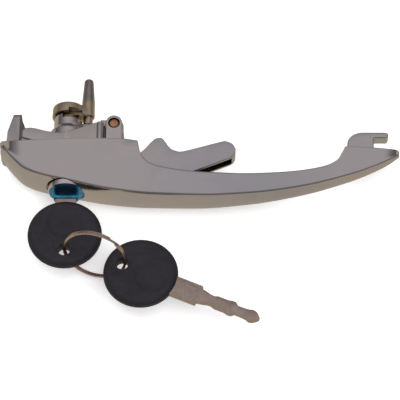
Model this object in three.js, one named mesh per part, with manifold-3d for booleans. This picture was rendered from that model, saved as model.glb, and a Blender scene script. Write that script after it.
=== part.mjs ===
// Exterior car door handle: a chromed casting with an arched grip, a squeeze trigger, a key lock with its
// lever, and two keys on a split ring. Millimetres. +X runs along the handle from the lock to the tail,
// +Y goes into the door, +Z is up on the car. Y = 0 is the door skin, Z = 0 is the handle's mid-plane.
// Sizes along X are measured from the middle of the handle; the exported origin is on the seat's front rim.
import * as THREE from "three";
import { mergeVertices } from "three/addons/utils/BufferGeometryUtils.js";
import Module from "manifold-3d";

const wasm = await Module();
wasm.setup();

// ---- driving dimensions ----
const NOSE_X = -91.5;
const TAIL_X = 91.5;
const SEAT_X = -90;
const WALL = 2.4;
const GAP = 0.3;
const LOCK_X = -61;
const CAP = { radius: 8.6, front: -20.5, back: -18.1 };
const PLUG = { headRadius: 7, headBack: -12.4, radius: 5.2, neckRadius: 3.3, neckFrom: 16.8, end: 25.6 };
const BOSS = {
  radius: 6.5,
  top: 18.5,
  windowFloor: 16.1,
  baseRadius: 8.3,
  baseTop: 10.3,
  coneTop: 12.4,
  wedgeTop: 14.3,
};
const CAM = {
  radius: 7.5,
  from: 19.2,
  to: 24,
  armX: 9.1,
  fingerRadius: 3,
  fingerTip: 40,
  stubFrom: 14.7,
  stubRadius: 2.2,
};
const PIVOT = { x: -39.6, y: 12.5, pinRadius: 2.25, holeRadius: 2.75, halfLength: 7.2 };
const LUG = { inner: 4.3, outer: 7, halfWidth: 3.8, topRadius: 4.2 };
const SCREW_HOLE = { radius: 2.5, y: 11.6 };
const TRIGGER = { halfHeight: 3.75, innerHalf: 2.35, eyeRadius: 4.4, coilRoom: 3.85 };
const THROAT_HALF = 4.5;
const RETAINER_Y = -10.3;
const FILM_SLEEVE_END = -24.3;
const KEY = {
  thickness: 2.2,
  collarHalf: 4.9,
  collarLength: 11.8,
  bladeHalf: 3.5,
  bladeLength: 29,
  headRadius: 16.8,
  holeRadius: 2.8,
  holeFromCentre: 9,
  headHalf: 2.8,
  dishRadius: 8.4,
  dishDepth: 0.9,
  dishFromCentre: 5.6,
};
const KEY_1 = { x: LOCK_X, headY: -42.7 };
const KEY_2 = { holeX: -34.75, holeY: -58.9, turn: -23.6 };
const RING = { meanRadius: 14.2, radial: 1.2, width: 1.8, tilt: 12, rise: 3.6, shift: 0.6 };
const WAFER = { count: 8, first: -8, pitch: 2.9, thickness: 0.8, halfX: 4.4, halfZ: 2.5, windowX: 3.8 };

// ---- materials ----
const finish = (color, roughness, metalness) => new THREE.MeshStandardMaterial({ color, roughness, metalness });
const chrome = finish(0xb4b0ac, 0.08, 1);
const bareZinc = finish(0x9a9a98, 0.4, 1);
const copper = finish(0xb07a4e, 0.3, 1);
const yellowZinc = finish(0x9c8f58, 0.35, 1);
const springSteel = finish(0xb89a5a, 0.3, 1);
const brass = finish(0xb09a5c, 0.35, 1);
const nickel = finish(0xb2a698, 0.3, 1);
const blueFilm = finish(0x1f7aa6, 0.25, 0.1);
const blackPlastic = finish(0x2a282b, 0.6, 0);

// ---- solids ----
function solidOf(geometry) {
  const bare = geometry.clone();
  bare.deleteAttribute("normal");
  bare.deleteAttribute("uv");
  const welded = mergeVertices(bare, 1e-4);
  return new wasm.Manifold(
    new wasm.Mesh({
      numProp: 3,
      vertProperties: new Float32Array(welded.attributes.position.array),
      triVerts: new Uint32Array(welded.index.array),
    }),
  );
}

function geometryOf(solid) {
  const mesh = solid.getMesh();
  const geometry = new THREE.BufferGeometry();
  geometry.setAttribute("position", new THREE.BufferAttribute(mesh.vertProperties, 3));
  geometry.setIndex(new THREE.BufferAttribute(mesh.triVerts, 1));
  geometry.computeVertexNormals();
  return geometry;
}

const join = (...solids) => solids.reduce((all, one) => all.add(one));
const cut = (solid, ...tools) => tools.reduce((rest, tool) => rest.subtract(tool), solid);

// A box from its two corners.
function block([x0, y0, z0], [x1, y1, z1]) {
  const geometry = new THREE.BoxGeometry(x1 - x0, y1 - y0, z1 - z0);
  geometry.translate((x0 + x1) / 2, (y0 + y1) / 2, (z0 + z1) / 2);
  return solidOf(geometry);
}

// A cylinder or cone along Y, standing at (x, z).
function postY(x, z, radius, y0, y1, endRadius = radius, sides = 32) {
  const geometry = new THREE.CylinderGeometry(endRadius, radius, y1 - y0, sides);
  geometry.translate(x, (y0 + y1) / 2, z);
  return solidOf(geometry);
}

// A cylinder along Z through (x, y).
function postZ(x, y, radius, z0, z1, sides = 32) {
  const geometry = new THREE.CylinderGeometry(radius, radius, z1 - z0, sides);
  geometry.rotateX(Math.PI / 2);
  geometry.translate(x, y, (z0 + z1) / 2);
  return solidOf(geometry);
}

// A plate parallel to the XY plane, from an outline of [x, y] points.
function plateZ(outline, z0, z1) {
  const drawn = outline instanceof THREE.Shape;
  const shape = drawn ? outline : new THREE.Shape(outline.map((p) => new THREE.Vector2(...p)));
  const settings = { depth: z1 - z0, bevelEnabled: false, curveSegments: 16 };
  const geometry = new THREE.ExtrudeGeometry(shape, settings);
  geometry.translate(0, 0, z0);
  return solidOf(geometry);
}

// Points along a smooth curve through [x, y] knots.
function smooth(knots, count) {
  const curve = new THREE.SplineCurve(knots.map((p) => new THREE.Vector2(...p)));
  return curve.getPoints(count).map((p) => [p.x, p.y]);
}

// A value that follows [x, value] knots without overshoot, with an eased passage between them.
function follow(knots, x) {
  if (x <= knots[0][0]) return knots[0][1];
  const next = knots.findIndex((k) => k[0] >= x);
  if (next < 0) return knots[knots.length - 1][1];
  const at = (i) => knots[Math.max(0, Math.min(knots.length - 1, i))];
  const slope = (i) => {
    const [a, b, c] = [at(i - 1), at(i), at(i + 1)];
    const before = a === b ? null : (b[1] - a[1]) / (b[0] - a[0]);
    const after = b === c ? null : (c[1] - b[1]) / (c[0] - b[0]);
    if (before === null || after === null) return before ?? after;
    return before * after <= 0 ? 0 : (2 * before * after) / (before + after);
  };
  const [from, to] = [at(next - 1), at(next)];
  const width = to[0] - from[0];
  const t = (x - from[0]) / width;
  const ease = [2 * t ** 3 - 3 * t ** 2 + 1, t ** 3 - 2 * t ** 2 + t, 3 * t ** 2 - 2 * t ** 3, t ** 3 - t ** 2];
  return ease[0] * from[1] + ease[1] * width * slope(next - 1) + ease[2] * to[1] + ease[3] * width * slope(next);
}

// ---- the casting's form along X ----
const FACE_Y = [
  [-91.5, -1.5], [-90, -3.2], [-86.3, -8.1], [-80.5, -13.8], [-72.9, -17], [-59.6, -20.2], [-40.7, -24.2],
  [-23, -26], [0, -26.5], [23, -24.8], [46, -20.7], [69, -13.6], [81.2, -8.2], [87.4, -4.7], [91.5, -1.8],
];
const FACE_HALF = [
  [-91.5, 4.6], [-90, 6.3], [-86, 8.4], [-75, 9.4], [-61, 9.3], [-40, 8.6], [-20, 7.8], [0, 7.25], [46, 5.3],
  [69, 4.2], [86, 2.9], [91.5, 1.2],
];
const BASE_HALF = [
  [-91.5, 8.4], [-90.5, 10.3], [-88.4, 11.6], [-74.5, 13.1], [-51, 14.3], [-36, 13.9], [-28.3, 12], [-24, 8.9],
  [-18, 7.3], [0, 6.6], [40, 6.1], [60, 6.6], [66.5, 7], [80, 5.8], [88.5, 4.4], [90.6, 3.6], [91.5, 2],
];
const FLARE = [
  [-91.5, 1.6], [-45, 1.3], [-29, 4], [-22, 3], [0, 1], [60, 1], [66, 1.2], [91.5, 1.2],
];
const CROWN = 0.9;
const EDGE_ROUND = 1.3;

// Half of the section at x, from the middle of the door side round to the middle of the outer face.
function halfSection(x, inset) {
  const faceY = follow(FACE_Y, x) + inset;
  const faceHalf = Math.max(0.3, follow(FACE_HALF, x) - inset);
  const baseHalf = Math.max(0.5, follow(BASE_HALF, x) - inset);
  const flare = follow(FLARE, x);
  const doorY = inset > 0 ? 1 : 0;
  const round = Math.min(EDGE_ROUND, faceHalf * 0.4);
  const edgeY = Math.min(faceY + CROWN * (faceHalf / 9) + round, doorY - 0.2);
  const points = [[doorY, 0], [doorY, baseHalf]];
  for (const s of [0.75, 0.4, 0]) {
    const y = edgeY + (doorY - edgeY) * s;
    points.push([y, faceHalf + (baseHalf - faceHalf) * s ** flare]);
  }
  for (const turn of [30, 60]) {
    const angle = THREE.MathUtils.degToRad(turn);
    points.push([edgeY - round * Math.sin(angle), faceHalf - round * (1 - Math.cos(angle))]);
  }
  for (const share of [1, 0.7, 0.35, 0]) {
    const z = (faceHalf - round) * share;
    points.push([faceY + (edgeY - round - faceY) * share ** 2, z]);
  }
  return points;
}

// A closed skin through sections at the given stations along X.
function hull(stations, inset = 0) {
  const first = halfSection(stations[0], inset);
  const half = first.length - 1;
  const sides = half * 2;
  const rows = stations.length - 1;
  const geometry = new THREE.CylinderGeometry(1, 1, 1, sides, rows);
  const position = geometry.attributes.position;
  for (let i = 0; i < position.count; i++) {
    const row = Math.round((position.getY(i) + 0.5) * rows);
    const x = stations[row];
    const section = halfSection(x, inset);
    const onAxis = Math.hypot(position.getX(i), position.getZ(i)) < 0.5;
    if (onAxis) {
      position.setXYZ(i, x, (section[0][0] + section[half][0]) / 2, 0);
      continue;
    }
    const angle = Math.atan2(position.getX(i), position.getZ(i));
    const step = Math.round((angle / (2 * Math.PI)) * sides);
    const [y, z] = section[Math.abs(step)];
    position.setXYZ(i, x, y, step < 0 ? -z : z);
  }
  return solidOf(geometry);
}

function stationsBetween(from, to, count) {
  return Array.from({ length: count + 1 }, (_, i) => from + ((to - from) * i) / count);
}

// ---- the casting ----
const FINGER_GAP = [
  [-28.4, 2], [-28.4, 0], [-27.2, -4.6], [-25, -7.7], [-21.4, -9.8], [-15, -11.4], [-4, -12.9], [7, -13.5],
  [22, -13.7], [42, -12.2], [56, -9.5], [62.4, -6.4], [65, -2.6], [66.5, 0], [66.5, 2],
];

function makeBody() {
  const skin = hull([
    NOSE_X, -91, -90, -88.6, -86.5, -84, ...stationsBetween(-81, -34, 10), -31, -28.4, -26.2, -24, -21,
    ...stationsBetween(-17, 62, 15), ...stationsBetween(66.5, 88, 5), 90.2, TAIL_X,
  ]);
  const cavity = hull(stationsBetween(NOSE_X + WALL + 0.6, -31, 12), WALL);
  const gapCurve = [...FINGER_GAP.slice(0, 2), ...smooth(FINGER_GAP.slice(1, 14), 36).slice(1), FINGER_GAP[14]];
  const fingerGap = plateZ(gapCurve, -30, 30);
  const channelFloor = stationsBetween(-33, 16, 10).map((x) => [x, follow(FACE_Y, x) + 3]);
  const channel = plateZ([[-33, 2], ...channelFloor, [21, -12], [21, 2]], -THROAT_HALF, THROAT_HALF);
  let body = cut(skin, cavity, fingerGap, channel);
  body = join(body, lockBoss(), screwLug(), ...pivotLugs(), ...locatingRibs(), hookFoot());
  body = cut(
    body,
    postY(LOCK_X, 0, CAP.radius + GAP + 0.1, -30, CAP.back + GAP, undefined, 40),
    postY(LOCK_X, 0, PLUG.headRadius + GAP, -30, PLUG.headBack + GAP, undefined, 40),
    postY(LOCK_X, 0, PLUG.radius + GAP, -30, 40, undefined, 36),
    postZ(PIVOT.x, PIVOT.y, PIVOT.holeRadius, -20, 20, 28),
    postZ(LOCK_X, RETAINER_Y, 0.9, 4.4, 8.9, 12),
  );
  return body;
}

// The housing round the lock plug, from the outer face to the lever, with the spring window in its end.
function lockBoss() {
  const profile = [
    [0, -18.4], [11.4, -17.8], [10.6, -12], [BOSS.baseRadius, -8], [BOSS.baseRadius, BOSS.baseTop],
    [BOSS.radius, BOSS.coneTop], [BOSS.radius, BOSS.top], [0, BOSS.top],
  ];
  const turned = new THREE.LatheGeometry(profile.map((p) => new THREE.Vector2(...p)), 40);
  turned.translate(LOCK_X, 0, 0);
  const post = solidOf(turned);
  const window = block([LOCK_X - 2.4, BOSS.windowFloor, -9], [LOCK_X + 9, BOSS.top + 1, 9]);
  const springStop = block([LOCK_X + 6, 0, -2.7], [LOCK_X + 9.8, 14.2, 2.7]);
  const foot = block([LOCK_X + 5, -21, -2.7], [LOCK_X + 9.8, 0.5, 2.7]);
  const shoulder = [[0, 6.4], [3.4, 6.1], [7.4, 3.3], [7.4, -3.3], [3.4, -6.1], [0, -6.4]];
  const wedge = new THREE.ExtrudeGeometry(
    new THREE.Shape(shoulder.map((p) => new THREE.Vector2(...p))),
    { depth: 10, bevelEnabled: false },
  );
  wedge.rotateX(Math.PI / 2);
  wedge.translate(LOCK_X, BOSS.wedgeTop, 0);
  const keep = hull(stationsBetween(-80, -34, 12), 1);
  const low = post.intersect(block([-90, -30, -30], [0, 0, 30])).intersect(keep);
  const high = post.intersect(block([-90, -0.01, -30], [0, 30, 30]));
  return join(low, high, springStop, solidOf(wedge), foot.intersect(keep)).subtract(window);
}

// The upright lug at the lock's end, with its screw hole along X and its inner upright edges chamfered.
function screwLug() {
  const side = [
    [-88.9, -1.5], [-88.5, 8.5], [-85.8, 18.9], [-82.3, 18.9], [-82, 15.6], [-80.4, 11.5], [-81, -1.5],
  ];
  const top = new THREE.Shape();
  top.moveTo(-6.6, -4);
  top.lineTo(-5.2, 16.6);
  top.quadraticCurveTo(-5, 18.9, -3, 18.9);
  top.lineTo(3, 18.9);
  top.quadraticCurveTo(5, 18.9, 5.2, 16.6);
  top.lineTo(6.6, -4);
  const front = new THREE.ExtrudeGeometry(top, { depth: 12, bevelEnabled: false, curveSegments: 6 });
  front.rotateY(Math.PI / 2);
  front.translate(-90, 0, 0);
  const screwHole = new THREE.CylinderGeometry(SCREW_HOLE.radius, SCREW_HOLE.radius, 20, 24);
  screwHole.rotateZ(Math.PI / 2);
  screwHole.translate(-84, SCREW_HOLE.y, 0);
  const lean = 1.4 / 20.6;
  const chamfers = [-1, 1].map((z) => {
    const outline = [[-83.2, 6.4], [-79.6, 3.4], [-79.6, 9], [-83.2, 9]];
    const corner = outline.map(([u, v]) => new THREE.Vector2(u, -z * v));
    const wedge = new THREE.ExtrudeGeometry(new THREE.Shape(corner), { depth: 24, bevelEnabled: false });
    wedge.rotateX(-Math.PI / 2);
    wedge.applyMatrix4(new THREE.Matrix4().makeShear(0, 0, 0, -z * lean, 0, 0));
    return solidOf(wedge);
  });
  return cut(plateZ(side, -8, 8).intersect(solidOf(front)), solidOf(screwHole), ...chamfers);
}

function pivotLugs() {
  const outline = new THREE.Shape();
  outline.moveTo(PIVOT.x - LUG.halfWidth, -1);
  outline.lineTo(PIVOT.x + LUG.halfWidth, -1);
  outline.lineTo(PIVOT.x + LUG.halfWidth, PIVOT.y);
  outline.absellipse(PIVOT.x, PIVOT.y, LUG.halfWidth, LUG.topRadius, 0, Math.PI, false);
  outline.lineTo(PIVOT.x - LUG.halfWidth, -1);
  const [left, right] = [PIVOT.x - LUG.halfWidth, PIVOT.x + LUG.halfWidth];
  const foot = [[left, -21.6], [right, -22], [right, 0], [left, 0]];
  return [-1, 1].flatMap((side) => {
    const [a, b] = [side * LUG.inner, side * LUG.outer].sort((p, q) => p - q);
    return [plateZ(outline, a, b), plateZ(foot, a, b)];
  });
}

// The two upright ribs that locate the casting in the door skin, with their wavy tops and round ends.
function locatingRibs() {
  const crest = [
    [-81.6, 7.6], [-80.2, 8.9], [-76.8, 9.2], [-70, 7.4], [-64, 6.8], [-57.7, 8.4], [-50, 11.4], [-46, 12.2],
  ];
  const outline = [[-46, -19], [-75.6, -13], [-75.6, 2.4], [-81.6, 4.2], ...smooth(crest, 20)];
  return [-1, 1].flatMap((side) => {
    const [a, b] = [side * 6.7, side * 8.3].sort((p, q) => p - q);
    const [c, d] = [side * 4.9, side * 6.8].sort((p, q) => p - q);
    const web = block([-47, -19, c], [PIVOT.x - LUG.halfWidth + 0.5, 8.5, d]);
    return [plateZ(outline, a, b), postY(-46, side * 7.2, 1.8, -19, 12.2, 1.8, 20), web];
  });
}

function hookFoot() {
  const side = new THREE.Shape();
  side.moveTo(67.8, -2);
  side.lineTo(67.8, 4.2);
  side.bezierCurveTo(67.9, 6.6, 70.2, 9.4, 74.4, 9.9);
  side.lineTo(85.2, 9.9);
  side.absarc(85.4, 8.45, 1.45, Math.PI / 2, -Math.PI / 2, true);
  side.lineTo(80.7, 7);
  side.quadraticCurveTo(79.9, 6.9, 79.9, 6.1);
  side.lineTo(79.9, -2);
  return plateZ(side, -3, 3);
}

// ---- the trigger ----
const TRIGGER_BACK = [
  [-35.2, 9], [-34.2, 4.5], [-31.4, 0.2], [-28.6, -1.6], [-26.2, -0.4], [-21.9, 4.9], [-19.4, 6.5], [-17, 5.9],
  [-13.9, 1.3], [-11, -0.4], [-7, -0.5], [9.1, 4.3], [12, 4.7], [15, 3.2], [16.4, 0.6],
];
const TRIGGER_INNER = [
  [-36.9, 8.4], [-35.8, 3.9], [-32.5, -1.1], [-28.6, -3.2], [-25.2, -1.7], [-21, 3.6], [-19.3, 4.8],
  [-17.9, 4.2], [-15.1, 0.2], [-11.5, -2], [-6.9, -2.1], [9.4, 2.7], [12, 3], [13.6, 2], [14.6, 0.2],
];
const TRIGGER_FRONT = [[16, -2.4], [13.75, -4.3], [-2, -10.9], [-12, -14.6], [-18, -14], [-25, -9.6], [-36, -1]];

function makeTrigger() {
  const back = smooth(TRIGGER_BACK, 42);
  const arm = plateZ([...back, ...TRIGGER_FRONT, [PIVOT.x - 3, PIVOT.y - 3], [PIVOT.x, PIVOT.y + 2]],
    -TRIGGER.halfHeight, TRIGGER.halfHeight);
  const eye = postZ(PIVOT.x, PIVOT.y, TRIGGER.eyeRadius, -TRIGGER.halfHeight, TRIGGER.halfHeight, 32);
  const toe = block([PIVOT.x - 6.4, PIVOT.y + 0.6, -3], [PIVOT.x - 2, PIVOT.y + 4, 3]);
  const inner = smooth(TRIGGER_INNER, 40);
  const hollow = plateZ([...inner, [14.6, -8], [2, -16], [-12, -20], [-20, -20], [-30, -12], [-41, -3],
    [-47, 8.6], [-39, 10]],
    -TRIGGER.innerHalf, TRIGGER.innerHalf);
  return cut(
    join(arm, eye, toe),
    hollow,
    postZ(PIVOT.x, PIVOT.y, TRIGGER.coilRoom, -TRIGGER.innerHalf, TRIGGER.innerHalf, 28),
    block([PIVOT.x - 6, PIVOT.y - 5, -TRIGGER.innerHalf], [PIVOT.x, PIVOT.y - 1, TRIGGER.innerHalf]),
    postZ(PIVOT.x, PIVOT.y, PIVOT.pinRadius + GAP, -9, 9, 28),
  );
}

function makePivotPin() {
  return postZ(PIVOT.x, PIVOT.y, PIVOT.pinRadius, -PIVOT.halfLength, PIVOT.halfLength, 28);
}

// ---- springs ----
// A round wire swept along points, as one closed tube.
function wire(points, radius, steps, sides = 6) {
  const section = new THREE.Shape();
  section.absarc(0, 0, radius, 0, 2 * Math.PI, false);
  const path = new THREE.CatmullRomCurve3(points.map((p) => new THREE.Vector3(...p)), false, "centripetal");
  return new THREE.ExtrudeGeometry(section, {
    steps,
    extrudePath: path,
    bevelEnabled: false,
    curveSegments: sides / 2,
  });
}

// Points of a coil about the origin in the plane of a and b, rising along c.
function coil(radius, turns, height, start, place) {
  const count = Math.round(turns * 12);
  return Array.from({ length: count + 1 }, (_, i) => {
    const angle = start + (i / count) * turns * 2 * Math.PI;
    return place(radius * Math.cos(angle), radius * Math.sin(angle), (height * i) / count);
  });
}

function makeTriggerSpring() {
  const turns = coil(2.95, 3.67, 3.3, -0.5, (a, b, c) => [PIVOT.x + a, PIVOT.y + b, c - 1.65]);
  const fixedLeg = [[PIVOT.x - 3, PIVOT.y - 11.6, -1.65], [PIVOT.x + 0.3, PIVOT.y - 5.6, -1.65]];
  const movingLeg = [[PIVOT.x + 0.6, PIVOT.y - 6.2, 1.65], [PIVOT.x + 4.4, PIVOT.y - 12, 1.65]];
  return wire([...fixedLeg, ...turns, ...movingLeg], 0.32, 64);
}

function makeCamSpring() {
  const turns = coil(4.8, 2.5, 2, -1.5, (a, b, c) => [LOCK_X + a, 16.8 + c, b]);
  const fixed = [[LOCK_X + 8.4, 13.4, -3.3], [LOCK_X + 8.4, 16, -3.3], [LOCK_X + 7.4, 16.8, -3.5]];
  const moving = [[LOCK_X + 5.3, 18.8, 3.2], [LOCK_X + 9, 18.75, 3.4]];
  return wire([...fixed, ...turns.slice(1, -3), ...moving], 0.3, 64);
}

// ---- the lock ----
function keySlot(halfWidth, halfHeight, y0, y1) {
  return block([LOCK_X - halfWidth, y0, -halfHeight], [LOCK_X + halfWidth, y1, halfHeight]);
}

const SLOT_HALF_Z = KEY.thickness / 2 + GAP;

function makePlug() {
  const stages = [
    [0, -17.8], [PLUG.headRadius, -17.8], [PLUG.headRadius, PLUG.headBack], [PLUG.radius, PLUG.headBack],
    [PLUG.radius, PLUG.neckFrom - 0.6], [PLUG.neckRadius, PLUG.neckFrom - 0.6], [PLUG.neckRadius, PLUG.end],
    [0, PLUG.end],
  ];
  const turned = new THREE.LatheGeometry(stages.map((p) => new THREE.Vector2(...p)), 36);
  turned.translate(LOCK_X, 0, 0);
  const waferSlots = waferPlaces().map((y) =>
    block([LOCK_X - 9, y - GAP, -WAFER.halfZ - GAP], [LOCK_X + 9, y + WAFER.thickness + GAP, WAFER.halfZ + GAP]),
  );
  const clipGroove = new THREE.LatheGeometry(
    [[2.5, 24.1], [4, 24.1], [4, 25], [2.5, 25], [2.5, 24.1]].map((p) => new THREE.Vector2(...p)), 28);
  clipGroove.translate(LOCK_X, 0, 0);
  const flats = [-1, 1].map((side) => block(
    [LOCK_X - 5, CAM.from - 0.3, side > 0 ? 2.4 : -5], [LOCK_X + 5, 30, side > 0 ? 5 : -2.4]));
  const pinGroove = new THREE.LatheGeometry(
    [[4.3, RETAINER_Y - 0.9], [6, RETAINER_Y - 0.9], [6, RETAINER_Y + 0.9], [4.3, RETAINER_Y + 0.9],
      [4.3, RETAINER_Y - 0.9]].map((p) => new THREE.Vector2(...p)), 28);
  pinGroove.translate(LOCK_X, 0, 0);
  return cut(
    solidOf(turned),
    keySlot(KEY.collarHalf + GAP, SLOT_HALF_Z, -30, PLUG.headBack - 0.2),
    keySlot(KEY.bladeHalf + 0.6, SLOT_HALF_Z, -30, PLUG.neckFrom - 1),
    ...waferSlots,
    solidOf(clipGroove),
    ...flats,
    solidOf(pinGroove),
  );
}

function waferPlaces() {
  return Array.from({ length: WAFER.count }, (_, i) => WAFER.first + i * WAFER.pitch);
}

function makeWafer(y, shift) {
  const plate = block([LOCK_X - WAFER.halfX + shift, y, -WAFER.halfZ],
    [LOCK_X + WAFER.halfX + shift, y + WAFER.thickness, WAFER.halfZ]);
  return plate.subtract(keySlot(WAFER.windowX, SLOT_HALF_Z, y - 1, y + 2));
}

function makeCap() {
  const cup = [
    [0, CAP.front], [CAP.radius - 0.8, CAP.front], [CAP.radius, CAP.front + 0.7], [CAP.radius, CAP.back],
    [0, CAP.back],
  ];
  const turned = new THREE.LatheGeometry(cup.map((p) => new THREE.Vector2(...p)), 44);
  turned.translate(LOCK_X, 0, 0);
  return solidOf(turned).subtract(keySlot(5.3, SLOT_HALF_Z + 0.1, -30, -10));
}

// The film over the cap, with a short sleeve drawn out round the key.
function makeFilm() {
  const disc = postY(LOCK_X, 0, CAP.radius - 0.4, CAP.front - 0.35, CAP.front - 0.15, undefined, 44);
  const sleeve = block([LOCK_X - 5.6, FILM_SLEEVE_END, -1.8], [LOCK_X + 5.6, CAP.front - 0.2, 1.8]);
  return join(disc, sleeve).subtract(keySlot(5.3, SLOT_HALF_Z + 0.1, -30, -10));
}

function makeRetainingPin() {
  return postZ(LOCK_X, RETAINER_Y, 0.6, 4.7, 8.6, 12);
}

// The lever on the plug's end: hub, arm, tall tapered finger and the stub that meets the spring.
function makeCam() {
  const fingerX = LOCK_X + CAM.armX;
  const hub = postY(LOCK_X, 0, CAM.radius, CAM.from, CAM.to, CAM.radius - 0.3, 40);
  const arm = plateArm(fingerX);
  const finger = postY(fingerX, 0, CAM.fingerRadius, CAM.from, 27, undefined, 24);
  const stub = postY(fingerX, 0, CAM.stubRadius, CAM.stubFrom + 0.8, CAM.from + 0.1, undefined, 24);
  const rise = postY(fingerX, 0, CAM.fingerRadius, 26.99, CAM.fingerTip - 0.8, 2.15, 24);
  const tip = postY(fingerX, 0, 2.15, CAM.fingerTip - 0.81, CAM.fingerTip, 1.5, 24);
  const stubEnd = postY(fingerX, 0, CAM.stubRadius - 0.7, CAM.stubFrom, CAM.stubFrom + 0.81, CAM.stubRadius, 24);
  const bore = postY(LOCK_X, 0, PLUG.neckRadius + GAP, 10, 30, undefined, 28)
    .intersect(block([LOCK_X - 9, 10, -2.7], [LOCK_X + 9, 30, 2.7]));
  const recess = block([LOCK_X + 0.4, CAM.from - 1, 3.2], [LOCK_X + 6.6, CAM.from + 1.7, 9]);
  return cut(join(hub, arm, finger, rise, tip, stub, stubEnd), bore, recess);
}

function plateArm(fingerX) {
  const arm = new THREE.Shape();
  arm.moveTo(LOCK_X, 6.4);
  arm.lineTo(fingerX, CAM.fingerRadius);
  arm.absarc(fingerX, 0, CAM.fingerRadius, Math.PI / 2, -Math.PI / 2, true);
  arm.lineTo(LOCK_X, -6.4);
  const settings = { depth: CAM.to - CAM.from, bevelEnabled: false, curveSegments: 12 };
  const geometry = new THREE.ExtrudeGeometry(arm, settings);
  geometry.rotateX(Math.PI / 2);
  geometry.translate(0, CAM.to, 0);
  return solidOf(geometry);
}

function makeCirclip() {
  const ring = new THREE.Shape();
  ring.absarc(0, 0, 4.6, 0.5, 2 * Math.PI - 0.5, false);
  ring.absarc(0, 0, 2.8, 2 * Math.PI - 0.75, 0.75, true);
  const geometry = new THREE.ExtrudeGeometry(ring, { depth: 0.5, bevelEnabled: false, curveSegments: 20 });
  geometry.rotateX(Math.PI / 2);
  geometry.translate(LOCK_X, 24.8, 0);
  return solidOf(geometry);
}

// ---- the keys: each is drawn along +Y from its head's centre, lying in the XY plane ----
function makeBladeShape() {
  const shoulder = KEY.headRadius + KEY.collarLength;
  const tip = shoulder + KEY.bladeLength;
  const bitting = [
    [0, 3.5], [2.5, 3.05], [4.8, 2.45], [6.3, 2.35], [8.2, 2.95], [13, 2.95], [14.7, 3.4], [16.2, 3.4],
    [17.9, 2.1], [21.2, 2.15], [23.1, 2.35], [24.8, 2.95], [26.2, 2.75], [27.7, 1.75],
  ];
  const cuts = bitting.map(([s, half]) => [half, shoulder + s]);
  const right = [[KEY.collarHalf, 9], [KEY.collarHalf, shoulder], ...cuts];
  const left = right.map(([x, y]) => [-x, y]).reverse();
  return plateZ([...right, [0.5, tip], [-0.5, tip], ...left], -KEY.thickness / 2, KEY.thickness / 2)
    .subtract(postZ(0, -KEY.holeFromCentre, KEY.holeRadius, -3, 3, 20));
}

function makeHeadShape() {
  const { headRadius: edge, headHalf: half, dishRadius, dishDepth, dishFromCentre } = KEY;
  const profile = [[0, -half], [edge - 2.2, -half], [edge - 0.5, -half + 1], [edge, -half + 2], [edge, half - 2],
    [edge - 0.5, half - 1], [edge - 2.2, half], [0, half]];
  const disc = new THREE.LatheGeometry(profile.map((p) => new THREE.Vector2(...p)), 40);
  disc.rotateX(Math.PI / 2);
  const dishes = [-1, 1].map((side) => {
    const dish = new THREE.CylinderGeometry(dishRadius, dishRadius - 1.6, dishDepth + 0.5, 32);
    dish.rotateX((side * Math.PI) / 2);
    dish.translate(0, dishFromCentre, side * (half - dishDepth / 2 + 0.25));
    return solidOf(dish);
  });
  const tang = block([-KEY.collarHalf - GAP, 8.7, -KEY.thickness / 2 - GAP],
    [KEY.collarHalf + GAP, 20, KEY.thickness / 2 + GAP]);
  return cut(solidOf(disc), tang, ...dishes, postZ(0, -KEY.holeFromCentre, KEY.holeRadius, -5, 5, 24));
}

function makeRing() {
  const band = [
    [RING.meanRadius - RING.radial / 2, -RING.width / 2], [RING.meanRadius + RING.radial / 2, -RING.width / 2],
    [RING.meanRadius + RING.radial / 2, RING.width / 2], [RING.meanRadius - RING.radial / 2, RING.width / 2],
    [RING.meanRadius - RING.radial / 2, -RING.width / 2],
  ];
  return solidOf(new THREE.LatheGeometry(band.map((p) => new THREE.Vector2(...p)), 48));
}

// ---- assembly ----
const handle = new THREE.Group();
handle.position.x = -SEAT_X;

function addMesh(name, solid, material, parent = handle) {
  const mesh = new THREE.Mesh(geometryOf(solid), material);
  mesh.name = name;
  parent.add(mesh);
}

addMesh("handle_body", makeBody(), chrome);
addMesh("trigger_lever", makeTrigger(), chrome);
addMesh("trigger_pivot_pin", makePivotPin(), copper);
addMesh("trigger_return_spring", solidOf(makeTriggerSpring()), springSteel);
addMesh("lock_plug", makePlug(), brass);
waferPlaces().forEach((y, i) => addMesh(`wafer_${i + 1}`, makeWafer(y, i % 2 ? 0.1 : -0.1), brass));
addMesh("lock_face_cap", makeCap(), chrome);
addMesh("cap_film", makeFilm(), blueFilm);
addMesh("lock_retaining_pin", makeRetainingPin(), nickel);
addMesh("cam_lever", makeCam(), yellowZinc);
addMesh("cam_circlip", makeCirclip(), springSteel);
addMesh("cam_return_spring", solidOf(makeCamSpring()), springSteel);

const key1 = new THREE.Group();
key1.position.set(KEY_1.x, KEY_1.headY, 0);
handle.add(key1);
const key2 = new THREE.Group();
key2.rotation.z = THREE.MathUtils.degToRad(KEY_2.turn - 90);
key2.position
  .set(0, KEY.holeFromCentre, 0)
  .applyEuler(key2.rotation)
  .add(new THREE.Vector3(KEY_2.holeX, KEY_2.holeY, 0));
handle.add(key2);
[[key1, "key_1"], [key2, "key_2"]].forEach(([group, name]) => {
  addMesh(`${name}_blade`, makeBladeShape(), nickel, group);
  addMesh(`${name}_head`, makeHeadShape(), blackPlastic, group);
});

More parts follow.
